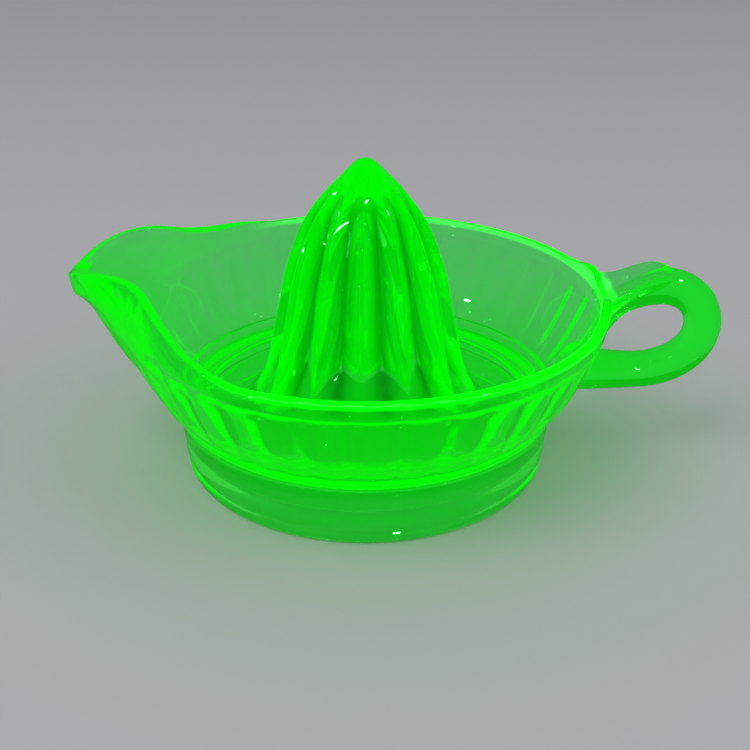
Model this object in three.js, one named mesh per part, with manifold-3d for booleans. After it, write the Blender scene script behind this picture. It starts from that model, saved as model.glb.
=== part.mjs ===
// A one-piece pressed-glass citrus reamer: a fluted bowl on a hollow foot
// ring, with a ribbed hollow cone in the middle, a raised pouring spout on -X
// and a loop handle with a dished thumb rest on +X.
// Millimetres, +Z up, resting on z = 0. Each mesh is a region of the single
// pressing; neighbouring regions meet on shared planes.
// Everything is built about the bowl's axis and the whole group is shifted last.
import * as THREE from 'three';
import { mergeVertices } from 'three/addons/utils/BufferGeometryUtils.js';
import Module from 'manifold-3d';

const wasm = await Module();
wasm.setup();
const { smoothstep } = THREE.MathUtils;

// ---------- driving dimensions ----------
const RIM_Z = 54.5;          // height of the plain rim
const RIM_OUTER_R = 76;
const RIM_THICKNESS = 3;
const RIM_MID_R = RIM_OUTER_R - RIM_THICKNESS / 2;
const BAND_Z = 49.7;         // where the plain rim band meets the flutes
const FLOOR_TOP_Z = 22.5;    // inside floor of the bowl
const FLOOR_LOW_Z = 18.5;    // underside of the floor, where the foot ring starts
const FLOOR_MID_Z = (FLOOR_TOP_Z + FLOOR_LOW_Z) / 2;
const FLOOR_THICKNESS = FLOOR_TOP_Z - FLOOR_LOW_Z;
const FLOOR_EDGE_R = 48;     // where the flat floor ends
const CAVITY_LOW_R = 30.4;   // flared open underside of the hollow cone
const CAVITY_MOUTH_R = 26.7; // the hollow's radius level with the inside floor
const FOOT_TOP_R = 59.3;     // where the foot ring meets the bowl
const SPOUT_TIP_R = 92.5;    // bowl axis to the tip of the spout
const HANDLE_END_X = 113.5;  // bowl axis to the far side of the loop
const AXIS_X = -(HANDLE_END_X - SPOUT_TIP_R) / 2; // centres the overall length on x = 0
const FLUTES = 36;
const BOWL_SEGMENTS = FLUTES * 3;
const FOOT_SEGMENTS = 72;

// ---------- helpers ----------
// Straight-line reading of a table at x, where the first column is x.
function interpolate(table, x, column = 1) {
  if (x <= table[0][0]) return table[0][column];
  for (let i = 1; i < table.length; i++) {
    if (x <= table[i][0]) {
      const before = table[i - 1];
      const after = table[i];
      const rise = after[column] - before[column];
      return before[column] + rise * (x - before[0]) / (after[0] - before[0]);
    }
  }
  return table[table.length - 1][column];
}

const bell = (distance, width) => Math.exp(-((distance / width) ** 2));

const polar = (angle, radius, z) =>
  new THREE.Vector3(radius * Math.cos(angle), radius * Math.sin(angle), z);

// Closed geometry to a manifold solid.
function solid(geometry) {
  const bare = geometry.clone();
  bare.deleteAttribute('normal');
  bare.deleteAttribute('uv');
  const merged = mergeVertices(bare, 1e-4);
  const positions = merged.attributes.position.array;
  const indices = merged.index.array;

  // drop faces that merging closed up, such as those on a lathe's axis
  const faces = [];
  for (let i = 0; i < indices.length; i += 3) {
    const [a, b, c] = indices.slice(i, i + 3);
    if (a !== b && b !== c && c !== a) faces.push(a, b, c);
  }

  // a negative volume means the faces point inwards, so they are turned over
  const corner = (i) => new THREE.Vector3().fromArray(positions, faces[i] * 3);
  let volume = 0;
  for (let i = 0; i < faces.length; i += 3) {
    volume += corner(i).dot(corner(i + 1).cross(corner(i + 2))) / 6;
  }
  if (volume < 0) {
    for (let i = 0; i < faces.length; i += 3) {
      [faces[i + 1], faces[i + 2]] = [faces[i + 2], faces[i + 1]];
    }
  }
  return new wasm.Manifold(new wasm.Mesh({
    numProp: 3,
    vertProperties: new Float32Array(positions),
    triVerts: new Uint32Array(faces),
  }));
}

function geometryOf(manifold) {
  const mesh = manifold.getMesh();
  const geometry = new THREE.BufferGeometry();
  const positions = new Float32Array(mesh.vertProperties);
  geometry.setAttribute('position', new THREE.BufferAttribute(positions, 3));
  geometry.setIndex(new THREE.BufferAttribute(new Uint32Array(mesh.triVerts), 1));
  geometry.computeVertexNormals();
  return geometry;
}

// An axis-aligned block from its [low, high] range on each axis.
function block(...ranges) {
  const geometry = new THREE.BoxGeometry(...ranges.map(([low, high]) => high - low));
  geometry.translate(...ranges.map(([low, high]) => (low + high) / 2));
  return solid(geometry);
}

// A lathe about +Z from [radius, height] points.
function lathe(points, segments) {
  const profile = points.map(([radius, z]) => new THREE.Vector2(radius, z));
  return new THREE.LatheGeometry(profile, segments).rotateX(Math.PI / 2);
}

// A lathe whose rows may vary around the axis: each row is a function from angle to point.
function shapedLathe(rows, segments) {
  const geometry = lathe(rows.map((row, i) => [10 + i, 0]), segments); // points are replaced below
  const position = geometry.attributes.position;
  for (let i = 0; i < position.count; i++) {
    const column = Math.floor(i / rows.length) % segments;
    const point = rows[i % rows.length](column / segments * 2 * Math.PI);
    position.setXYZ(i, point.x, point.y, point.z);
  }
  return geometry;
}

// A shapedLathe row of constant radius and height.
const turned = (radius, z) => (angle) => polar(angle, radius, z);

// ---------- bowl and spout ----------
const FLUTE_DEPTH = 0.75;
const RIM_CROWN = 0.9;         // rise of the rim's rounded top
const KEEL_SPREAD = 12;        // degrees, the outward bulge under the spout
const KEEL_INSIDE_SPREAD = 25; // degrees, the extra glass inside the spout

// Middle of the wall from the cone out to the rim: [radius, height, thickness].
// A station k counts along this table, and may fall between two points.
const PROFILE = [
  [CAVITY_MOUTH_R, FLOOR_MID_Z, FLOOR_THICKNESS], [40.0, FLOOR_MID_Z, FLOOR_THICKNESS],
  [FLOOR_EDGE_R, FLOOR_MID_Z, FLOOR_THICKNESS],
  [53.0, 21.3, 4.2], [57.2, 23.1, 4.6], [61.0, 26.2, 4.7], [64.8, 31.0, 4.3],
  [67.2, 35.2, 4.0], [69.2, 39.2, 3.7], [71.0, 43.2, 3.3], [72.6, 47.0, 2.9],
  [73.7, BAND_Z, 2.6], [74.2, 52.2, 2.7], [RIM_MID_R, RIM_Z, RIM_THICKNESS],
];
const BAND_K = 11; // first point of the plain band
const RIM_K = PROFILE.length - 1;

// Top edge of the wall: [degrees away from -X, radius, height].
const TOP_EDGE = [
  [0, SPOUT_TIP_R - 1.3, 61.4], [2.7, 89.0, 63.1], [7.8, 85.4, 65.5], [11.9, 82.0, 66.9],
  [14.6, 78.8, 67.5], [17, 75.6, 67.7], [19.5, 72.9, 67.2], [23.7, 70.6, 65.5],
  [29.8, 69.8, 62.8], [36.3, 70.1, 60.5], [42.3, 71.0, 58.8], [47.7, 72.2, 57.6],
  [52.7, 73.2, 56.7], [58, 74.0, 55.5], [64, RIM_MID_R, RIM_Z],
];
// Rise of the rim beside the thumb rest: [degrees away from +X, rise].
const HANDLE_RISE = [
  [0, 0.2], [4, 0.6], [8, 2.6], [11, 3.2], [14, 2.8], [18, 1.5], [23, 0.3], [26, 0],
];
// Outward bulge of the wall under the spout: [height, bulge].
const KEEL = [
  [24, 0], [27, 0.6], [30, 1.6], [34, 2.9], [38, 4.0], [42, 5.1], [46, 6.3], [50, 7.6],
];
// Extra glass on the inside of the spout: [height, thickness].
const KEEL_INSIDE = [
  [22, 0], [30, 1.0], [38, 2.6], [46, 3.6], [52, 3.6], [58, 2.6], [62, 1.5], [65, 0.6], [68, 0.2],
];

function degreesFromSpout(angle) {
  const away = Math.abs(angle * 180 / Math.PI - 180);
  return away > 180 ? 360 - away : away;
}

// Radius, height and thickness of PROFILE at station k.
function profileAt(k) {
  const i = Math.min(RIM_K - 1, Math.floor(k));
  return PROFILE[i].map((value, column) => value + (PROFILE[i + 1][column] - value) * (k - i));
}

// Point on the wall's middle surface.
function middle(angle, k) {
  const away = degreesFromSpout(angle);
  const keelAt = (z) => interpolate(KEEL, z) * bell(away, KEEL_SPREAD);
  if (k <= BAND_K) {
    const [radius, z] = profileAt(k);
    return polar(angle, radius + keelAt(z), z);
  }
  // the band runs straight from the flutes up to the top edge
  const up = (k - BAND_K) / (RIM_K - BAND_K);
  const lowR = PROFILE[BAND_K][0] + keelAt(BAND_Z);
  const topR = interpolate(TOP_EDGE, away);
  const topZ = interpolate(TOP_EDGE, away, 2) + interpolate(HANDLE_RISE, 180 - away);
  return polar(angle, lowR + (topR - lowR) * up, BAND_Z + (topZ - BAND_Z) * up);
}

// Point on a face of the wall: side is 1 for the outer face, -1 for the inner.
function wallPoint(angle, k, side) {
  const angleStep = 0.01;
  const kStep = 0.02;
  const point = middle(angle, k);
  const around = middle(angle + angleStep, k).sub(middle(angle - angleStep, k));
  const along = middle(angle, Math.min(RIM_K, k + kStep))
    .sub(middle(angle, Math.max(0, k - kStep)));
  const normal = around.cross(along).normalize(); // outward and down

  const thickness = profileAt(k)[2];
  let offset = side * thickness / 2;
  if (side > 0) {
    const inFlutes = smoothstep(k, 4.4, 5.6) * (1 - smoothstep(k, 10.4, 11));
    offset -= FLUTE_DEPTH * inFlutes * Math.abs(Math.cos(FLUTES / 2 * angle));
  } else {
    const fade = bell(degreesFromSpout(angle), KEEL_INSIDE_SPREAD);
    offset -= interpolate(KEEL_INSIDE, point.z) * fade;
  }
  return point.addScaledVector(normal, offset);
}

function bowlGeometry() {
  const face = (side, stations) => stations.map((k) => (angle) => wallPoint(angle, k, side));
  const crown = (angle) => middle(angle, RIM_K).add(new THREE.Vector3(0, 0, RIM_CROWN));
  return shapedLathe([
    turned(CAVITY_LOW_R, FLOOR_LOW_Z),
    turned(FOOT_TOP_R, FLOOR_LOW_Z),
    turned(FOOT_TOP_R + 0.2, 19.8),
    turned(60.4, 21.0),
    turned(61.6, 22.6),
    ...face(1, [5, 6, 7, 8.5, 10, BAND_K, 12, RIM_K]),
    crown,
    ...face(-1, [RIM_K, 12, BAND_K, 9, 7, 6, 5, 4, 3]),
    turned(FLOOR_EDGE_R, FLOOR_TOP_Z),
    turned(CAVITY_MOUTH_R, FLOOR_TOP_Z),
    turned(CAVITY_LOW_R, FLOOR_LOW_Z), // closes the profile
  ], BOWL_SEGMENTS);
}

// ---------- foot ring ----------
// [radius, height], up the outside and then down the inside.
const FOOT_OUTSIDE = [
  [56.9, 0], [57.5, 0.7], [58.1, 2.7], [57.5, 4.2], [58.7, 8.0], [58.2, 11.5], [59.2, 13.0],
  [59.3, 16.5], [FOOT_TOP_R, FLOOR_LOW_Z],
];
const FOOT_INSIDE = [[55.0, FLOOR_LOW_Z], [55.6, 13], [55.2, 4], [54.6, 0.7], [55.1, 0]];

const footGeometry = () =>
  lathe([...FOOT_OUTSIDE, ...FOOT_INSIDE, FOOT_OUTSIDE[0]], FOOT_SEGMENTS);

// ---------- reamer cone ----------
const RIBS = 12;
const CONE_SEGMENTS = RIBS * 6;
const CONE_TOP_Z = 98.5;
const CAVITY_TOP_Z = 84;

// Radius at the rib crests: [height, radius].
const CREST = [
  [FLOOR_TOP_Z, 35.0], [24.5, 34.7], [27.6, 33.1], [31, 32.0], [36, 30.8], [44, 29.3],
  [54, 27.2], [62, 25.5], [70, 22.9], [76, 20.5], [82, 17.2], [87, 13.3], [91, 9.6],
  [94.5, 6.1], [97.2, 3.2],
];
// Depth of the valleys between ribs: [height, depth].
const VALLEY = [
  [FLOOR_TOP_Z, 1.0], [27, 1.2], [31, 2.0], [36, 3.7], [40, 5.2], [48, 5.4], [56, 5.2],
  [64, 4.8], [76, 3.8], [84, 1.8], [91, 0.5], [94, 0], [CONE_TOP_Z, 0],
];
// Hollow inside the cone: [height, radius].
const HOLLOW = [
  [FLOOR_TOP_Z, CAVITY_MOUTH_R], [27, 25.3], [36, 23.3], [50, 19.2], [62, 16.2], [70, 13.1],
  [78, 8.4],
];

// A shapedLathe row of the ribbed outside.
const ribbed = (crestR, z) => (angle) => {
  const turn = ((angle + Math.PI / 2) / (2 * Math.PI) * RIBS) % 1;
  const toValley = 1 - Math.abs(2 * turn - 1); // 0 on a crest, 1 in a valley
  // flat flanks run from crest to crest, then fall into the valley
  const halfRib = Math.PI / RIBS;
  const flat = Math.cos(halfRib) / Math.cos((1 - toValley) * halfRib) - 1;
  const fade = (1 - smoothstep(z, 92, 97)) * (0.35 + 0.65 * smoothstep(z, 26, 34));
  const radius = crestR * (1 + flat * fade) - interpolate(VALLEY, z) * toValley;
  return polar(angle, radius, z);
};

function coneGeometry() {
  return shapedLathe([
    turned(0, CONE_TOP_Z),
    ...[...CREST].reverse().map(([z, radius]) => ribbed(radius, z)),
    ...HOLLOW.map(([z, radius]) => turned(radius, z)),
    turned(0, CAVITY_TOP_Z),
  ], CONE_SEGMENTS);
}

// ---------- loop handle ----------
const BAR_HALF_WIDTH = 6.2;
const BAR_HALF_THICKNESS = 5.8;

// Middle of the bar, out along the bottom and back over the top: [x, z].
const LOOP = [
  [66.5, 29.4], [75, 29.0], [84, 28.9], [93, 29.9], [100.2, 32.9], [105.8, 38.2],
  [HANDLE_END_X - BAR_HALF_THICKNESS, 43.8],
  [106.3, 49.9], [101.8, 54.9], [94.5, 57.7], [87, 57.2], [80.5, 54.9], [75.5, 51.0], [71, 44.5],
];

function loopGeometry() {
  const extrudePath = new THREE.CatmullRomCurve3(LOOP.map(([x, z]) => new THREE.Vector3(x, 0, z)));
  const bar = new THREE.Shape();
  bar.absellipse(0, 0, BAR_HALF_THICKNESS, BAR_HALF_WIDTH, 0, Math.PI * 2);
  return new THREE.ExtrudeGeometry(bar, { steps: 30, curveSegments: 8, extrudePath });
}

// ---------- thumb rest ----------
const REST_X = [70, 95.5];
const DISH_X = [68, 94.5];
const DISH_AIR_TOP_Z = 80;
const DISH_WIDTH_SHARE = 0.9; // of the rest's width
const REST_LOW_WIDTH = 0.86;  // width of the underside, as a share of the top's

// Each is [distance from the bowl axis, value].
const REST_HALF_WIDTH = [
  [70, 19.0], [72, 17.6], [74, 15.9], [76, 13.8], [78, 12.2], [80, 11.0], [84, 9.3], [88, 8.5],
  [91, 8.0], [93.5, 6.6], [95.5, 4.4],
];
const REST_EDGE_Z = [
  [70, 56.8], [74, 57.4], [77, 58.2], [80, 59.4], [84, 61.4], [88, 63.0], [91, 63.5],
  [93.5, 63.4], [95.5, 62.9],
];
const DISH_DEPTH = [
  [70, 4.2], [73, 4.0], [77, 3.5], [81, 3.0], [85, 2.6], [89, 2.0], [92, 1.2], [95.5, 0.2],
];
const REST_LOW_Z = [[70, 47.5], [74, 50.5], [80, 54.0], [88, 57.0], [95.5, 59.0]];

// Height of the dished top; across runs from -1 to 1 between the edges.
function restTop(x, across) {
  const dished = 1 - smoothstep(Math.abs(across), 0.5, 0.95);
  return interpolate(REST_EDGE_Z, x) - interpolate(DISH_DEPTH, x) * dished;
}

// A subdivided block; place(x, across, up) gives [y, z], for across -1 to 1 and up 0 to 1.
function shapedBlock([startX, endX], place) {
  const geometry = new THREE.BoxGeometry(1, 1, 1, 10, 6, 1);
  const position = geometry.attributes.position;
  for (let i = 0; i < position.count; i++) {
    const x = startX + (endX - startX) * (position.getX(i) + 0.5);
    const [y, z] = place(x, position.getY(i) * 2, position.getZ(i) + 0.5);
    position.setXYZ(i, x, y, z);
  }
  return geometry;
}

const restGeometry = () => shapedBlock(REST_X, (x, across, up) => {
  const low = interpolate(REST_LOW_Z, x);
  const widthShare = REST_LOW_WIDTH + (1 - REST_LOW_WIDTH) * up;
  return [
    across * interpolate(REST_HALF_WIDTH, x) * widthShare,
    low + (restTop(x, across) - low) * up,
  ];
});

// The air in the dish: it is taken out of the loop's bar.
const dishGeometry = () => shapedBlock(DISH_X, (x, across, up) => {
  const inDish = across * DISH_WIDTH_SHARE;
  return [
    inDish * interpolate(REST_HALF_WIDTH, x),
    restTop(x, inDish) * (1 - up) + DISH_AIR_TOP_Z * up,
  ];
});

// ---------- cut the pressing into its regions ----------
const HANDLE_CUT_X = 76.5;  // plane between the bowl and the loop handle
const SPOUT_CUT_X = -54.5;  // planes between the bowl and the spout
const SPOUT_CUT_Z = 31;
const REST_CUT_X = 96.5;    // outer end of the thumb rest's region
const REST_CUT_Z = 57.2;    // height of the sloping plane under the thumb rest...
const REST_CUT_AT_X = 86;   // ...at this x
const REST_CUT_SLOPE = 0.42; // radians, rising outward
const CUT_TOP_Z = 120;      // clear of all the glass

// The space inside the wall, reaching slightly into the glass.
function insideSolid() {
  const plainAngle = 0.5; // radians, where the rim has neither spout nor rise
  const overlap = 0.8;
  const topZ = 70;
  const rows = [[0, 24]];
  for (let k = 4; k <= RIM_K; k++) {
    const point = wallPoint(plainAngle, k, -1);
    rows.push([Math.hypot(point.x, point.y) + overlap, point.z]);
  }
  rows.push([74.6, topZ], [0, topZ]);
  return solid(lathe(rows, BOWL_SEGMENTS));
}

// Everything above the sloping plane, as far out as the thumb rest's end.
function aboveSlope() {
  const slope = new THREE.BoxGeometry(60, 60, 40);
  slope.translate(0, 0, 20);
  slope.rotateY(-REST_CUT_SLOPE);
  slope.translate(REST_CUT_AT_X, 0, REST_CUT_Z);
  return solid(slope).intersect(block([60, REST_CUT_X], [-40, 40], [0, CUT_TOP_Z]));
}

const wholeHandle = solid(loopGeometry())
  .subtract(solid(dishGeometry()))
  .add(solid(restGeometry()))
  .subtract(insideSolid());
const outboard = block([HANDLE_CUT_X, 140], [-60, 60], [0, CUT_TOP_Z]);
const spoutBlock = block([-140, SPOUT_CUT_X], [-100, 100], [SPOUT_CUT_Z, CUT_TOP_Z]);
const pressing = solid(bowlGeometry()).add(wholeHandle.subtract(outboard));
const handle = wholeHandle.intersect(outboard);
const restRegion = aboveSlope();

// ---------- meshes ----------
const glass = (color) => new THREE.MeshStandardMaterial({
  color,
  roughness: 0.04,
  metalness: 0,
  transparent: true,
  opacity: 0.55,
  emissive: new THREE.Color(0x00b400), // green glow
  emissiveIntensity: 0.6,
});

const group = new THREE.Group();
function part(name, manifold, color) {
  const mesh = new THREE.Mesh(geometryOf(manifold), glass(color));
  mesh.name = name;
  group.add(mesh);
}
part('foot_ring', solid(footGeometry()), 0x3cb04c);
part('bowl', pressing.subtract(spoutBlock), 0x18d020);
part('reamer_cone', solid(coneGeometry()), 0x10e018);
part('pouring_spout', pressing.intersect(spoutBlock), 0x20c828);
part('loop_handle', handle.subtract(restRegion), 0x28c838);
part('thumb_rest', handle.intersect(restRegion), 0x38c050);
group.position.x = AXIS_X;

export default group;
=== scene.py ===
"""A one-piece uranium-glass citrus reamer dish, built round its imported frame.

It stands upright on z = 0. The spout points to -X and the loop handle to +X; the bowl's
axis is at x = AXIS_X. Lengths are in millimetres about that axis until a mesh is made.

The frame's six nodes are regions of one pressing. Glass shows every inner face, so bowl,
foot, cone and spout are a single closed surface, and the loop handle with its thumb rest
is joined on.
"""
import math
from math import pi

import bmesh
import bpy
import numpy as np
from mathutils import Matrix, Vector


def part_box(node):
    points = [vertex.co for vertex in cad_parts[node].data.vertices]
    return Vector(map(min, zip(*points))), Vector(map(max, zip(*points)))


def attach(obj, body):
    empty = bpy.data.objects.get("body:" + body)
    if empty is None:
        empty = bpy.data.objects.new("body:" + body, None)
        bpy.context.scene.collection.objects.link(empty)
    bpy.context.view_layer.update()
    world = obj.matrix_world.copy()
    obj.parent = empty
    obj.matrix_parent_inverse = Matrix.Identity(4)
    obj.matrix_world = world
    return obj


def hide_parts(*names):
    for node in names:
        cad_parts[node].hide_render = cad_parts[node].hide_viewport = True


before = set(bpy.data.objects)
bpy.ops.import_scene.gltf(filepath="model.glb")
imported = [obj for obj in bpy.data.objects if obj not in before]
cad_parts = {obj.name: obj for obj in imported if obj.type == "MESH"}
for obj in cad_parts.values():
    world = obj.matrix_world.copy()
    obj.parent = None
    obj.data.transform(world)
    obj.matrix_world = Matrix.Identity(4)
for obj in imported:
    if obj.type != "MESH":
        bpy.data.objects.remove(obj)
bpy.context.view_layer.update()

MM = 0.001

# ---------------------------------------------------------------- driving sizes
foot_low, foot_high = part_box("foot_ring")
cone_low, cone_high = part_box("reamer_cone")
AXIS_X = (foot_low.x + foot_high.x) / 2 / MM
CONE_TOP = cone_high.z / MM
FLOOR_LOW = foot_high.z / MM                        # underside of the floor
FLOOR_TOP = cone_low.z / MM                         # inside floor
TIP_R = AXIS_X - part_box("spout" if False else "pouring_spout")[0].x / MM
LOOP_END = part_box("loop_handle")[1].x / MM - AXIS_X  # bowl axis to the loop's far side

RIM_Z, RIM_R = 54.5, 74.5
BAND_Z = 49.7                                       # where the flutes end and the plain band starts
FLUTES, FLUTE_TURN = 36, math.radians(2.5)
RIBS, RIB_TURN = 12, math.radians(2.5)              # turned so the front rib leans to the spout
HOLLOW_TOP = 84.0                                   # apex of the hollow under the cone
ABOVE = 80.0                                        # a height clear of the whole handle
STEPS = 1008                 # coarse facets would show through the glass


# ---------------------------------------------------------------- numeric helpers
def curve(pairs, x):
    """Monotone cubic through [x, y] pairs, held flat past its ends."""
    pairs = np.asarray(pairs, float)
    knots, values = pairs[:, 0], pairs[:, 1]
    gap = np.diff(knots)
    slope = np.diff(values) / gap
    tangent = np.zeros(len(knots))
    for i in range(1, len(knots) - 1):
        if slope[i - 1] * slope[i] > 0:
            left, right = 2 * gap[i] + gap[i - 1], gap[i] + 2 * gap[i - 1]
            tangent[i] = (left + right) / (left / slope[i - 1] + right / slope[i])
    tangent[0], tangent[-1] = slope[0], slope[-1]
    x = np.clip(np.asarray(x, float), knots[0], knots[-1])
    i = np.clip(np.searchsorted(knots, x, side="right") - 1, 0, len(knots) - 2)
    s = (x - knots[i]) / gap[i]
    return ((1 + 2 * s) * (1 - s) ** 2 * values[i] + s * (1 - s) ** 2 * gap[i] * tangent[i]
            + s * s * (3 - 2 * s) * values[i + 1] + s * s * (s - 1) * gap[i] * tangent[i + 1])


def smooth(start, end, x):
    share = np.clip((np.asarray(x, float) - start) / (end - start), 0, 1)
    return share * share * (3 - 2 * share)


def unit(vectors):
    return vectors / np.linalg.norm(vectors, axis=-1, keepdims=True)


def full_turn(count):
    return np.arange(count) / count * 2 * pi


def polar(radius, angle, z):
    return np.stack([radius * np.cos(angle), radius * np.sin(angle), z + 0 * angle], -1)


def from_spout(angle):
    """Degrees away from the spout."""
    return np.abs((np.degrees(angle) % 360) - 180)


# ---------------------------------------------------------------- mesh helpers
def new_object(name, mesh):
    ob = bpy.data.objects.new(name, mesh)
    bpy.context.scene.collection.objects.link(ob)
    return ob


def solid(name, points, faces):
    """Object with outward faces, from points in millimetres about the bowl's axis."""
    points[:, 0] += AXIS_X
    points *= MM
    mesh = bpy.data.meshes.new(name)
    mesh.from_pydata(points.tolist(), [], faces)
    mesh.update()
    bm = bmesh.new()
    bm.from_mesh(mesh)
    bmesh.ops.recalc_face_normals(bm, faces=bm.faces)
    if bm.calc_volume(signed=True) < 0:
        bmesh.ops.reverse_faces(bm, faces=bm.faces)
    bm.to_mesh(mesh)
    bm.free()
    return new_object(name, mesh)


def tube(rows, name):
    """Skin over closed rows of points, with a fan over each end."""
    count, around = len(rows), len(rows[0])
    points = np.concatenate(rows + [[rows[0].mean(0)], [rows[-1].mean(0)]])
    faces = []
    for i in range(count - 1):
        low, high = i * around, (i + 1) * around
        for j in range(around):
            k = (j + 1) % around
            faces.append((low + j, low + k, high + k, high + j))
    first, last = count * around, (count - 1) * around
    for j in range(around):
        k = (j + 1) % around
        faces.append((first, k, j))
        faces.append((first + 1, last + j, last + k))
    return solid(name, points, faces)


def apply_modifiers(ob):
    depsgraph = bpy.context.evaluated_depsgraph_get()
    mesh = bpy.data.meshes.new_from_object(ob.evaluated_get(depsgraph))
    ob.modifiers.clear()
    old = ob.data
    ob.data = mesh
    bpy.data.meshes.remove(old)


def join_or_cut(ob, other, operation):
    mod = ob.modifiers.new("join_or_cut", "BOOLEAN")
    mod.operation, mod.object, mod.solver = operation, other, "MANIFOLD"
    apply_modifiers(ob)


def even_out(ob, size, rounds):
    """Regrid evenly and melt the seams together."""
    mod = ob.modifiers.new("regrid", "REMESH")
    mod.mode, mod.voxel_size, mod.adaptivity = "VOXEL", size, 0
    mod = ob.modifiers.new("melt", "SMOOTH")
    mod.factor, mod.iterations = 0.5, rounds
    apply_modifiers(ob)


# ---------------------------------------------------------------- bowl wall
# Middle surface of the wall: [station, radius, height, thickness].
# Stations run from the floor to the rim.
WALL = np.array([
    [0, 44.0, 20.5, 4.0], [1, 49.0, 20.55, 4.0], [2, 53.2, 21.4, 4.2], [3, 57.2, 23.2, 4.6],
    [4, 61.0, 26.4, 4.7], [5, 64.8, 31.0, 4.3], [6, 67.2, 35.2, 4.0], [7, 69.2, 39.2, 3.8],
    [8, 71.0, 43.2, 3.5], [9, 72.6, 47.0, 3.1], [10, 73.7, BAND_Z, 2.6],
    [11, 74.2, 52.2, 2.7], [12, RIM_R, RIM_Z, 3.0]])
BAND, TOP = 10.0, 12.0                              # stations of the band's foot and the rim
# Rim's edge round the spout: [degrees from the spout, radius] and [degrees, height].
SPOUT_R = [
    [0, TIP_R - 1.3], [2.7, 89.0], [7.8, 85.4], [11.9, 82.0], [14.6, 78.8], [17, 75.6],
    [19.5, 72.9], [23.7, 70.6], [29.8, 69.8], [36.3, 70.1], [42.3, 71.0], [47.7, 72.2],
    [52.7, 73.2], [58, 74.0], [64, RIM_R], [70, RIM_R]]
SPOUT_Z = [
    [0, 61.4], [2.7, 63.1], [7.8, 65.5], [11.9, 66.9], [14.6, 67.5], [17, 67.7],
    [19.5, 67.2], [23.7, 65.5], [29.8, 62.8], [36.3, 60.5], [42.3, 58.8], [47.7, 57.6],
    [52.7, 56.7], [58, 55.5], [64, RIM_Z], [70, RIM_Z]]
# Rise of the rim by the handle: [degrees from the handle, rise].
HANDLE_RISE = [[0, 0.2], [4, 0.6], [8, 2.6], [11, 3.2], [14, 2.8], [18, 1.5], [23, 0.3],
               [26, 0], [30, 0]]
# Keel under the spout: [height, amount], as reach outward, then extra glass on each face.
KEEL = [[20, 0], [24, 0], [27, 0.6], [30, 1.6], [34, 2.9], [38, 4.0], [42, 5.1], [46, 6.3],
        [50, 7.6], [56, 9.0]]
KEEL_OUTSIDE = [[28, 0], [31, 0.1], [33, 0.4], [36, 1.3], [39, 1.9], [41.6, 2.4],
                [44.4, 2.1], [47, 1.6], [50, 1.3], [56, 1.2]]
KEEL_INSIDE = [[22, 0], [30, 1.0], [38, 2.6], [46, 3.6], [52, 3.6], [58, 2.6], [62, 1.5],
               [65, 0.6], [68, 0.2]]
# Extra glass outside the spout's lip: [share of the band's height, amount].
LIP_EXTRA = [[0, 1.2], [0.24, 1.0], [0.45, 1.6], [0.66, 2.6], [0.85, 1.5], [1.0, 0.3]]
# Spread of the keel, its outer and its inner extra glass round the bowl, in degrees.
KEEL_SPREAD, OUTSIDE_SPREAD, INSIDE_SPREAD = 12.0, 14.0, 25.0
FLUTE_DEPTH = 0.62
STATIONS = np.concatenate([
    np.linspace(0, 4, 22), np.linspace(4, 9.6, 28)[1:], np.linspace(9.6, 10.4, 9)[1:],
    np.linspace(10.4, 12, 14)[1:]])
LOWEST_OUTSIDE = 3.55                               # the foot's profile takes over below this station


def thickness(station):
    return curve(WALL[:, [0, 3]], station)


def band_share(station):
    return np.clip((station - BAND) / (TOP - BAND), 0, 1)


def bell(away, spread):
    return np.exp(-((away / spread) ** 2))


def middle(angle, station):
    """Points of the wall's middle surface; angle is in radians from +X."""
    angle, station = np.broadcast_arrays(np.asarray(angle, float), np.asarray(station, float))
    radius = curve(WALL[:, [0, 1]], station)
    z = curve(WALL[:, [0, 2]], station)
    away = from_spout(angle)
    keel = bell(away, KEEL_SPREAD)
    share = band_share(station)
    edge_radius = curve(SPOUT_R, away)
    edge_z = curve(SPOUT_Z, away) + curve(HANDLE_RISE, 180 - away)
    # the band leaves the flutes' top without a kink; on the keel it runs straight
    eased = np.where(share < 0.4, share * share / 0.64, (share - 0.2) / 0.8)
    rise = share + smooth(16, 32, away) * (eased - share)
    band_radius = radius + curve(KEEL, BAND_Z) * keel * (1 - rise) + (edge_radius - RIM_R) * rise
    in_band = station > BAND
    radius = np.where(in_band, band_radius, radius + curve(KEEL, z) * keel)
    return polar(radius, angle, np.where(in_band, z + (edge_z - RIM_Z) * rise, z))


def around_wall(angle, station, step=0.006):
    """Vector along the wall's middle surface at a fixed station."""
    return middle(angle + step, station) - middle(angle - step, station)


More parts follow.
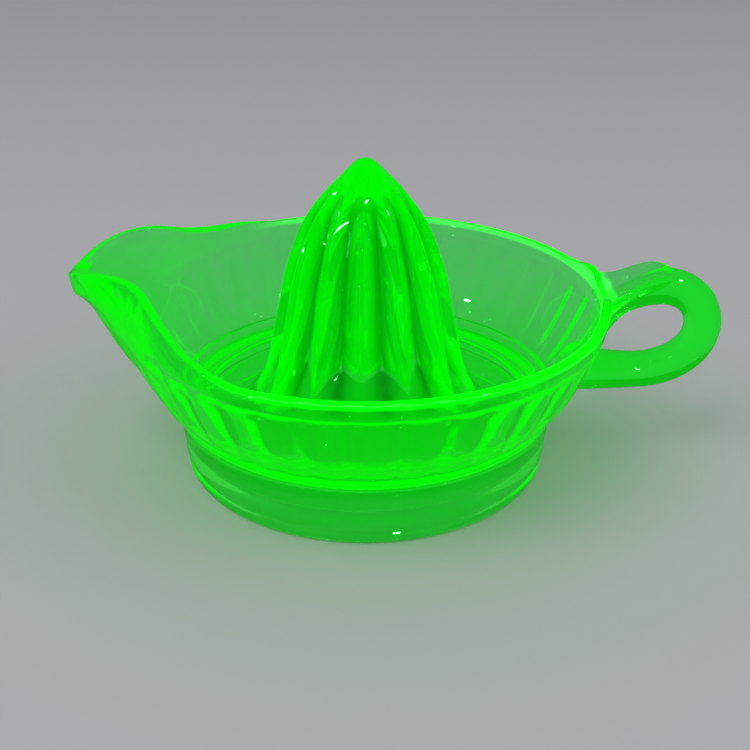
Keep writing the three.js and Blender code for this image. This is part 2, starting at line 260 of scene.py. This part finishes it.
def wall(angle, station, side):
    """Points on the wall's face: side is +1 outside and -1 inside."""
    step = 0.02
    points = middle(angle, station)
    upward = (middle(angle, np.minimum(station + step, TOP))
              - middle(angle, np.maximum(station - step, 0)))
    normal = unit(np.cross(around_wall(angle, station), upward))
    offset = side * thickness(station) / 2
    away, share, z = from_spout(angle), band_share(station), points[..., 2]
    if side > 0:
        # concave flutes with plain ridges between them
        fluted = smooth(3.2, 5.0, station) * (1 - smooth(8.7, 10.1, station))
        across = ((angle - FLUTE_TURN) / (2 * pi) * FLUTES) % 1.0 * 2 - 1
        scoop = 0.5 + 0.5 * np.cos(pi * across) - 0.12 * (1 - np.cos(2 * pi * across))
        offset = offset - FLUTE_DEPTH * fluted * scoop
        # the spout's keel and its rolled lip are thick glass
        lip = smooth(0, 0.35, share)
        extra = curve(KEEL_OUTSIDE, z) * (1 - lip) + curve(LIP_EXTRA, share) * lip
        offset = offset + extra * bell(away, OUTSIDE_SPREAD)
    else:
        offset = offset - (curve(KEEL_INSIDE, z) * bell(away, INSIDE_SPREAD)
                           * (1 - smooth(0.45, 0.95, share)))
    return points + normal * offset[..., None]


def inner_wall(angle):
    rows = np.stack([wall(angle, np.full(len(angle), k), -1) for k in STATIONS])
    away = from_spout(angle)
    # round off the crease inside the spout, where the wall turns up into the raised edge
    upright = ((1 - smooth(50, 64, away))[None, :]
               * (smooth(7.2, 8.4, STATIONS) * (1 - smooth(11.3, 11.9, STATIONS)))[:, None])
    upright = upright[1:-1, :, None]
    across = ((1 - smooth(9, 18, away))[None, :]
              * (smooth(9.0, 10.0, STATIONS) * (1 - smooth(11.6, 12.0, STATIONS)))[:, None])
    across = across[:, :, None]
    for _ in range(60):
        rows[1:-1] += upright * (0.25 * rows[:-2] + 0.25 * rows[2:] - 0.5 * rows[1:-1])
        rows += across * (0.25 * np.roll(rows, 1, 1) + 0.25 * np.roll(rows, -1, 1) - 0.5 * rows)
    return list(rows)


def rounded_rim(angle):
    """Half a turn about the edge of the middle surface, from inside to outside."""
    height = 0.8
    station = np.full(len(angle), TOP)
    edge = middle(angle, station)
    upward = edge - middle(angle, np.full(len(angle), 11.97))
    normal = unit(np.cross(around_wall(angle, station), upward))
    upward = unit(upward)
    half = thickness(TOP) / 2
    rows = []
    for tilt in np.linspace(-pi / 2, pi / 2, 13)[1:-1]:
        across = math.copysign(abs(math.sin(tilt)) ** 0.7, tilt)
        rows.append(edge + normal * (half * across) + upward * (height * math.cos(tilt) ** 0.45))
    return rows


# ---------------------------------------------------------------- cone and floor
# [height, radius] of the rib crests.
CREST = [[22.5, 35.0], [23.8, 35.0], [25.4, 34.3], [27.6, 33.1], [31, 32.0], [36, 30.8],
         [44, 29.3], [54, 27.2], [62, 25.5], [70, 22.9], [76, 20.5], [82, 17.2], [87, 13.3],
         [91, 9.6], [94.5, 6.1], [97, 3.4], [98.1, 1.8], [98.5, 0]]
# [height, depth] of the valleys between the ribs.
SCOOP = [[22.5, 0.9], [26, 1.1], [30, 1.7], [35, 3.3], [40, 5.2], [48, 5.4], [56, 5.2],
         [64, 4.8], [76, 3.8], [84, 1.8], [90, 0.6], [94, 0.12], [96, 0], [98.5, 0]]
# [height, radius] of the hollow under the cone.
HOLLOW = [[FLOOR_LOW, 30.6], [20, 28.7], [22.5, 26.7], [26, 25.6], [30, 24.7], [36, 23.3],
          [44, 20.7], [54, 18.2], [62, 16.2], [68, 14.0], [75, 10.6], [80, 7.0], [82.6, 4.2],
          [83.7, 2.0], [HOLLOW_TOP, 0]]
FILLET_RISE, FILLET_REACH = 0.9, 1.92               # fillet from the ribs to the floor
FLOOR_R = 43.0


def rib_shape(count):
    """Chord between crests, and depth as a share of the scoop's, round the cone."""
    angle = full_turn(count) + pi / 2 + RIB_TURN
    across = ((angle / (2 * pi) * RIBS) % 1.0) * 2 - 1     # 0 mid valley, +-1 on a crest
    half = pi / RIBS
    chord = np.cos(half) / np.cos(across * half)
    scoop = 1 - np.abs(across) ** 1.05
    # a narrow blur rounds the crests slightly
    width = max(1, int(round(count / 360)))
    kernel = np.exp(-0.5 * (np.arange(-4 * width, 4 * width + 1) / (1.1 * width)) ** 2)
    kernel /= kernel.sum()
    padded = np.roll(np.pad(kernel, (0, count - len(kernel))), -4 * width)
    return [np.real(np.fft.ifft(np.fft.fft(f) * np.fft.fft(padded))) for f in (chord, scoop)]


def cone_and_floor(angle):
    chord, scoop = rib_shape(len(angle))
    rows = []
    down = np.linspace(0, 1, 170)[1:]
    drop = CONE_TOP - FLOOR_TOP - FILLET_RISE
    for z in CONE_TOP - drop * (0.35 * down ** 2 + 0.65 * down):
        flat = 1 - smooth(92, 97, z)
        flat *= 0.35 + 0.65 * smooth(26, 34, z)
        radius = (float(curve(CREST, z)) * (1 + (chord - 1) * flat)
                  - float(curve(SCOOP, z)) * scoop)
        rows.append(polar(radius, angle, z))
    cone_r = np.hypot(rows[-1][:, 0], rows[-1][:, 1])
    for share in (0.25, 0.55, 0.8, 1.0):
        turn = share * pi / 2
        rows.append(polar(cone_r + FILLET_REACH * (1 - math.cos(turn)), angle,
                          FLOOR_TOP + FILLET_RISE * (1 - math.sin(turn))))
    fillet_r = np.hypot(rows[-1][:, 0], rows[-1][:, 1])
    for share in np.linspace(0, 1, 8)[1:]:
        rows.append(polar(fillet_r + (FLOOR_R - fillet_r) * share, angle, FLOOR_TOP))
    return rows


# ---------------------------------------------------------------- the turned body
# [radius, height]: ledge under the bowl, groove, foot ring, then inward under the floor.
FOOT = [
    [61.6, 22.4], [61.35, 21.6], [60.85, 21.0], [60.2, 20.62], [59.7, 20.2], [59.4, 19.5],
    [59.3, 18.6], [59.3, 17.2], [59.25, 15.6], [59.2, 14.0], [59.2, 13.0], [59.0, 12.4],
    [58.4, 12.0], [58.1, 11.5], [58.2, 10.8], [58.6, 10.0], [58.75, 8.6], [58.7, 7.4],
    [58.5, 6.2], [58.2, 5.2], [57.6, 4.6], [57.35, 4.2], [57.5, 3.8], [58.0, 3.4],
    [58.15, 2.7], [57.95, 1.7], [57.5, 0.8], [57.0, 0.25], [56.5, 0.03], [56.1, 0.0],
    [55.8, 0.0], [55.5, 0.12], [55.25, 0.5], [55.1, 1.2], [55.1, 2.5], [55.3, 6.0],
    [55.6, 10.0], [55.7, 14.0], [55.3, 16.0], [54.4, 17.4], [52.8, 18.25], [50.4, 18.5],
    [44.0, 18.5], [38.0, 18.5], [34.0, 18.5], [32.3, 18.52], [31.2, 18.7], [30.1, 19.1],
    [28.9, 19.9], [27.7, 21.2]]


def body_rows(count):
    """Rows from the cone's apex, over the bowl, round the foot and up the hollow."""
    angle = full_turn(count)
    rows = cone_and_floor(angle) + inner_wall(angle) + rounded_rim(angle)
    rows += [wall(angle, np.full(count, k), 1) for k in STATIONS[::-1] if k >= LOWEST_OUTSIDE]
    rows += [polar(radius, angle, z) for radius, z in FOOT]
    dome_z = 76
    dome = np.sin(np.linspace(0, pi / 2, 26))[1:-4]
    heights = [np.linspace(22.5, dome_z, 60), dome_z + (HOLLOW_TOP - dome_z) * dome]
    rows += [polar(float(curve(HOLLOW, z)), angle, z) for z in np.concatenate(heights)]
    return rows


def make_body(count):
    rows = body_rows(count)
    points = np.concatenate([[[0, 0, CONE_TOP]]] + rows + [[[0, 0, HOLLOW_TOP]]])
    here = np.arange(count)
    following = (here + 1) % count
    quads = []
    for i in range(len(rows) - 1):
        row, below = 1 + i * count, 1 + (i + 1) * count
        quads.append(np.stack([row + here, below + here, below + following, row + following], 1))
    last = 1 + (len(rows) - 1) * count
    apex_fan = [(0, 1 + a, 1 + b) for a, b in zip(here, following)]
    hollow_fan = [(last + a, last + count, last + b) for a, b in zip(here, following)]
    return solid("reamer_dish_glass", points,
                 apex_fan + np.concatenate(quads).tolist() + hollow_fan)


# ---------------------------------------------------------------- loop handle
# Centre line from the wall, under, round and back to the wall: [distance from axis, height].
LOOP = [
    [63.5, 29.6], [70.4, 29.2], [78, 28.9], [85.6, 28.9], [92, 29.6], [98.1, 31.8],
    [102.3, 34.8], [105.2, 38.6], [LOOP_END - 7.25, 43.0], [106.4, 47.6], [104.4, 52.2],
    [101.6, 55.0], [98.0, 57.0], [93.4, 57.9], [88.2, 57.5], [83.6, 56.3], [80.0, 54.7],
    [76.8, 52.4], [74.2, 49.4], [72.2, 46.2], [69.6, 43.0], [65.5, 41.0]]
BAR_HALF_WIDTH, BAR_HALF_HEIGHT = 6.2, 5.8


def spline(points, count):
    """Points and unit tangents along a Catmull-Rom curve in the XZ plane."""
    points = np.array(points, float)
    points = np.vstack([2 * points[0] - points[1], points, 2 * points[-1] - points[-2]])
    spans = len(points) - 3
    line = []
    for place in np.linspace(0, spans, count):
        i = min(int(place), spans - 1)
        t = place - i
        before, start, end, after = points[i:i + 4]
        line.append(0.5 * ((2 * start) + (-before + end) * t
                           + (2 * before - 5 * start + 4 * end - after) * t * t
                           + (-before + 3 * start - 3 * end + after) * t ** 3))
    line = np.array(line)
    return line, unit(np.gradient(line, axis=0))


def make_loop():
    count = 150
    angle = full_turn(64)
    rows = []
    for i, (centre, tangent) in enumerate(zip(*spline(LOOP, count))):
        # the bar swells where its lower end leaves the wall
        swell = 1 + 0.22 * (1 - float(smooth(0.0, 0.16, i / (count - 1))))
        out = BAR_HALF_HEIGHT * swell * np.cos(angle)
        rows.append(np.stack([centre[0] + out * -tangent[1],
                              BAR_HALF_WIDTH * swell * np.sin(angle),
                              centre[1] + out * tangent[0]], 1))
    return tube(rows, "loop")


# ---------------------------------------------------------------- thumb rest
# All by distance from the bowl's axis: half width, height of the edge, depth of the dish
# and height of the underside.
REST_HALF = [[66, 22.5], [70, 19.6], [72, 18.0], [74, 15.9], [76, 13.8], [78, 12.2],
             [80, 11.0], [82, 10.0], [84, 9.3], [88, 8.5], [91, 8.0], [93.2, 6.9],
             [94.8, 5.2], [95.8, 3.4], [96.3, 1.6]]
REST_EDGE = [[66, 56.0], [70, 56.8], [74, 57.4], [77, 58.2], [80, 59.4], [84, 61.4],
             [88, 63.0], [91, 63.5], [94, 63.4], [96.3, 62.7]]
REST_DISH = [[66, 4.6], [73, 4.0], [77, 3.5], [81, 3.0], [85, 2.6], [89, 2.0], [92, 1.2],
             [94.5, 0.5], [96.3, 0.1]]
REST_LOW = [[66, 46.0], [70, 48.0], [74, 50.5], [78, 53.0], [82, 55.5], [88, 57.5],
            [92, 58.6], [96.3, 59.6]]
EDGE_ROUND = 1.2                                    # drop of the upper face at its very edge
UNDER_SHARE, FLARE_SHARE = 0.62, 0.38               # of the half width: underside, flare of the sides


def dish_top(x, across):
    """Height of the rest's upper face; across runs from -1 to 1."""
    across = np.abs(across)
    return (float(curve(REST_EDGE, x))
            - float(curve(REST_DISH, x)) * (1 - smooth(0.34, 0.92, across))
            - EDGE_ROUND * smooth(0.86, 1.0, across) ** 2)


def make_rest():
    rows = []
    for x in np.linspace(67, 96.3, 70):
        half, edge, low = (float(curve(t, x)) for t in (REST_HALF, REST_EDGE, REST_LOW))
        across = np.linspace(-1, 1, 41)
        over = np.stack([np.full(41, x), across * half, dish_top(x, across)], 1)
        rise = np.linspace(1, 0, 12)[1:-1]
        side = np.stack([np.full(10, x), half * (UNDER_SHARE + FLARE_SHARE * rise ** 0.6),
                         low + (edge - EDGE_ROUND - low) * rise], 1)
        under = np.stack([np.full(17, x), np.linspace(1, -1, 17) * half * UNDER_SHARE,
                          np.full(17, low)], 1)
        rows.append(np.concatenate([over, side, under, side[::-1] * np.array([1, -1, 1])]))
    return tube(rows, "rest")


def make_dish():
    """The air above the thumb rest's dish, to be taken out of the loop's top."""
    width = 0.9
    rows = []
    for x in np.linspace(64, 94.5, 60):
        half = float(curve(REST_HALF, x)) * width
        across = np.linspace(-width, width, 31)
        low = np.stack([np.full(31, x), across / width * half, dish_top(x, across)], 1)
        top = low[::-1] * np.array([1, 1, 0]) + np.array([0, 0, ABOVE])
        rows.append(np.concatenate([low, top]))
    return tube(rows, "dish")


def make_trim(count):
    """Everything inside the wall, to trim the handle before it joins on."""
    angle = full_turn(count)
    rows = [polar(50, angle, 23.5)]
    for k in np.linspace(2.6, 12, 40):
        station = np.full(count, k)
        rows.append(wall(angle, station, -1) * 0.75 + wall(angle, station, 1) * 0.25)
    top = rows[-1].copy()
    top[:, :2] *= 0.995
    top[:, 2] = ABOVE
    rows.append(top)
    return tube(rows, "trim")


# ---------------------------------------------------------------- join the glass
def soften_seam(mesh):
    """Smooth the sharp seam where the handle meets the wall."""
    near, far, half_width = (AXIS_X + 62) * MM, (AXIS_X + 80) * MM, 24 * MM
    bm = bmesh.new()
    bm.from_mesh(mesh)
    bmesh.ops.dissolve_degenerate(bm, dist=2e-6, edges=bm.edges)
    seam = set()
    for edge in bm.edges:
        place = edge.verts[0].co
        if len(edge.link_faces) == 2 and near < place.x < far and abs(place.y) < half_width:
            if edge.calc_face_angle(0) > math.radians(28):
                seam.update(edge.verts)
    for _ in range(2):
        seam |= {edge.other_vert(v) for v in list(seam) for edge in v.link_edges}
    for _ in range(8):
        bmesh.ops.smooth_vert(bm, verts=list(seam), factor=0.5,
                              use_axis_x=True, use_axis_y=True, use_axis_z=True)
    bm.to_mesh(mesh)
    bm.free()


body = make_body(STEPS)
loop, rest, dish, trim = make_loop(), make_rest(), make_dish(), make_trim(288)
join_or_cut(loop, dish, "DIFFERENCE")
join_or_cut(loop, rest, "UNION")
even_out(loop, size=0.00055, rounds=8)
join_or_cut(loop, trim, "DIFFERENCE")
join_or_cut(body, loop, "UNION")
for ob in (loop, rest, dish, trim):
    bpy.data.objects.remove(ob)
soften_seam(body.data)
body.data.polygons.foreach_set("use_smooth", [True] * len(body.data.polygons))
body.data.update()

# ---------------------------------------------------------------- uranium glass
CLEAR = (0.33, 0.87, 0.46, 1)
SHADED = (0.04, 0.25, 0.09, 1)                      # painted shade in the valleys between the cone's ribs
FOOT_CLEAR = (0.66, 0.90, 0.76, 1)                  # the foot is the palest glass
GLOW = (0.0, 1.0, 0.0, 1)
BASE_GLOW, RIM_GLOW = 0.03, 0.55                    # surface glow everywhere; a painted brighter glow on the rim
CONE_LEAN = 0.29                                    # of the line between cone and hollow


def tint_and_glow(nt, position):
    """Glass tint, with painted shade in the cone's valleys, and surface glow, with a painted brighter
    rim, by place; lengths are in metres.
    """
    def calc(operation, *operands):
        node = nt.nodes.new("ShaderNodeMath")
        node.operation = operation
        for i, value in enumerate(operands):
            if isinstance(value, (int, float)):
                node.inputs[i].default_value = value
            else:
                nt.links.new(value, node.inputs[i])
        return node.outputs[0]

    def ramp(value, low, high, falling=False):
        node = nt.nodes.new("ShaderNodeMapRange")
        node.interpolation_type = "SMOOTHSTEP"
        nt.links.new(value, node.inputs["Value"])
        limits = {"From Min": low, "From Max": high,
                  "To Min": float(falling), "To Max": float(not falling)}
        for name, limit in limits.items():
            node.inputs[name].default_value = limit
        return node.outputs[0]

    def blend(factor, first, second):
        mix = nt.nodes.new("ShaderNodeMix")
        mix.data_type = "RGBA"
        nt.links.new(factor, mix.inputs[0])
        for i, value in ((6, first), (7, second)):  # the colour sockets
            if isinstance(value, tuple):
                mix.inputs[i].default_value = value
            else:
                nt.links.new(value, mix.inputs[i])
        return mix.outputs[2]

    xyz = nt.nodes.new("ShaderNodeSeparateXYZ")
    nt.links.new(position, xyz.inputs[0])
    x = calc("SUBTRACT", xyz.outputs[0], AXIS_X * MM)
    y, z = xyz.outputs[1], xyz.outputs[2]
    radius = calc("SQRT", calc("ADD", calc("MULTIPLY", x, x), calc("MULTIPLY", y, y)))
    turn = calc("MULTIPLY", calc("ADD", calc("ARCTAN2", y, x), pi / 2 + RIB_TURN), float(RIBS))
    valley = calc("MULTIPLY_ADD", calc("COSINE", turn), -0.5, 0.5)
    # only the outside of the cone: outside this line, and inside the floor's radius
    line = calc("MULTIPLY_ADD", z, -CONE_LEAN, (29.0 + 22.5 * CONE_LEAN) * MM)
    outside = ramp(calc("SUBTRACT", radius, line), 0.0, 0.0006)
    near = ramp(radius, 0.0365, 0.038, falling=True)
    heights = calc("MULTIPLY", ramp(z, 0.023, 0.034), ramp(z, 0.080, 0.092, falling=True))
    # painted shade: the glass tint is darkened in the valleys between the cone's ribs
    shade = calc("MULTIPLY", calc("MULTIPLY", calc("POWER", valley, 2.2), outside),
                 calc("MULTIPLY", near, heights))
    tint = blend(ramp(z, 0.0130, 0.0180, falling=True), blend(shade, CLEAR, SHADED), FOOT_CLEAR)
    # painted glow: the top of the plain rim, away from the spout, the handle and the cone, is
    # brightened
    rim = calc("MULTIPLY", ramp(z, (RIM_Z - 1.3) * MM, (RIM_Z - 0.2) * MM),
               ramp(z, (RIM_Z + 1.6) * MM, (RIM_Z + 2.6) * MM, falling=True))
    rim = calc("MULTIPLY", rim,
               calc("MULTIPLY", ramp(radius, 0.070, 0.0715), ramp(x, -0.045, -0.015)))
    rim = calc("MULTIPLY", rim, ramp(radius, 0.0775, 0.079, falling=True))
    return tint, calc("MULTIPLY_ADD", rim, RIM_GLOW, BASE_GLOW)


def set_inputs(node, values):
    for name, value in values.items():
        node.inputs[name].default_value = value


def uranium_glass():
    mat = bpy.data.materials.new("uranium_glass")
    mat.use_nodes = True
    nt = mat.node_tree
    nt.nodes.clear()
    out = nt.nodes.new("ShaderNodeOutputMaterial")
    place = nt.nodes.new("ShaderNodeTexCoord")
    glass = nt.nodes.new("ShaderNodeBsdfPrincipled")
    tint, shine = tint_and_glow(nt, place.outputs["Object"])
    set_inputs(glass, {
        "Base Color": CLEAR, "Roughness": 0.02, "Specular Tint": (0.22, 1.0, 0.30, 1),
        "IOR": 1.5, "Transmission Weight": 1.0, "Emission Color": GLOW})
    nt.links.new(tint, glass.inputs["Base Color"])
    nt.links.new(shine, glass.inputs["Emission Strength"])
    nt.links.new(glass.outputs[0], out.inputs["Surface"])
    # glow and tint fill the glass, so thick and edge-on glass is brightest
    inside = nt.nodes.new("ShaderNodeVolumePrincipled")
    set_inputs(inside, {
        "Color": (0.0, 0.0, 0.0, 1),
        "Absorption Color": (0.0, 0.68 ** 2, 0.08 ** 2, 1),  # the node takes the root
        "Density": 170.0, "Emission Color": GLOW, "Emission Strength": 56.0})
    nt.links.new(inside.outputs[0], out.inputs["Volume"])
    return mat


body.data.materials.clear()                         # the joins may leave an empty slot
body.data.materials.append(uranium_glass())
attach(body, "root")
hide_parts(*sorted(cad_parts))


# ---------------------------------------------------------------- floor, light, camera
def make_floor(half=20.0):
    mesh = bpy.data.meshes.new("floor")
    corners = [(-half, -half, 0), (half, -half, 0), (half, half, 0), (-half, half, 0)]
    mesh.from_pydata(corners, [], [(0, 1, 2, 3)])
    floor = new_object("floor", mesh)
    mat = bpy.data.materials.new("pale_floor")
    mat.use_nodes = True
    set_inputs(mat.node_tree.nodes["Principled BSDF"], {
        "Base Color": (0.50, 0.50, 0.50, 1), "Roughness": 0.85, "Specular IOR Level": 0.2})
    mesh.materials.append(mat)
    floor.location.z = -0.0002                      # just clear of the foot
    floor.visible_glossy = False                    # the glass does not mirror the bright floor


def make_world():
    """A room that is pale to the eye but dim in mirror reflections."""
    world = bpy.data.worlds.new("studio")
    scene.world = world
    world.use_nodes = True
    nt = world.node_tree
    background = nt.nodes["Background"]
    background.inputs["Color"].default_value = (0.93, 0.95, 1.0, 1)
    path = nt.nodes.new("ShaderNodeLightPath")
    dim = nt.nodes.new("ShaderNodeMapRange")
    set_inputs(dim, {"To Min": 0.52, "To Max": 0.07})
    nt.links.new(path.outputs["Is Glossy Ray"], dim.inputs["Value"])
    nt.links.new(dim.outputs[0], background.inputs["Strength"])


def area(name, at, toward_z, size, watts, color=(1, 1, 1), mirrored=True):
    """Area lamp aimed at the z axis. A mirrored lamp shows only in the glass."""
    light = bpy.data.lights.new(name, "AREA")
    light.shape, light.energy, light.color = "RECTANGLE", watts, color
    light.size, light.size_y = size
    ob = new_object(name, light)
    ob.location = at
    aim = Vector((0, 0, toward_z)) - Vector(at)
    ob.rotation_euler = aim.to_track_quat("-Z", "Y").to_euler()
    ob.visible_glossy, ob.visible_diffuse = mirrored, not mirrored


def make_camera():
    data = bpy.data.cameras.new("camera")
    cam = new_object("camera", data)
    pitch, roll = math.radians(26.63), math.radians(0.24)
    cam.location = ((AXIS_X + 3.1) * MM, -0.3477, 0.2006)
    turn = Matrix.Rotation(pi / 2 - pitch, 4, "X") @ Matrix.Rotation(roll, 4, "Z")
    cam.rotation_euler = turn.to_euler()
    data.sensor_width, data.lens = 36, 57.6
    data.clip_start, data.clip_end = 0.01, 50
    scene.camera = cam


scene = bpy.context.scene
make_floor()
make_world()
# broad soft light on the floor
area("key", at=(-0.6, -0.5, 1.1), toward_z=0.03, size=(0.8, 0.8), watts=5.2, mirrored=False)
area("fill", at=(0.9, -0.3, 0.9), toward_z=0.03, size=(0.9, 0.9), watts=2.8, mirrored=False)
# small lamps that leave the crisp highlights; the first three are bluish
for name, at, toward_z in (("spark_a", (0.02, -0.30, 0.95), 0.09),
                           ("spark_b", (-0.64, -0.10, 0.70), 0.08),
                           ("spark_c", (0.55, -0.23, 0.76), 0.08)):
    area(name, at, toward_z, size=(0.05, 0.05), watts=1.4, color=(0.75, 0.95, 1.0))
area("spark_d", at=(-0.55, -0.50, 0.19), toward_z=0.05, size=(0.03, 0.03), watts=0.5)
area("spark_e", at=(0.25, -0.75, 0.45), toward_z=0.03, size=(0.06, 0.06), watts=1.2)
area("spark_f", at=(-0.33, -0.50, 0.80), toward_z=0.03, size=(0.12, 0.05), watts=1.8)
make_camera()

scene.view_settings.view_transform = "Standard"
cycles = scene.cycles
cycles.max_bounces = cycles.transmission_bounces = 24
cycles.glossy_bounces = cycles.transparent_max_bounces = 16
cycles.volume_bounces = 2
cycles.caustics_refractive = cycles.caustics_reflective = True
cycles.use_denoising = True
cycles.seed = 7
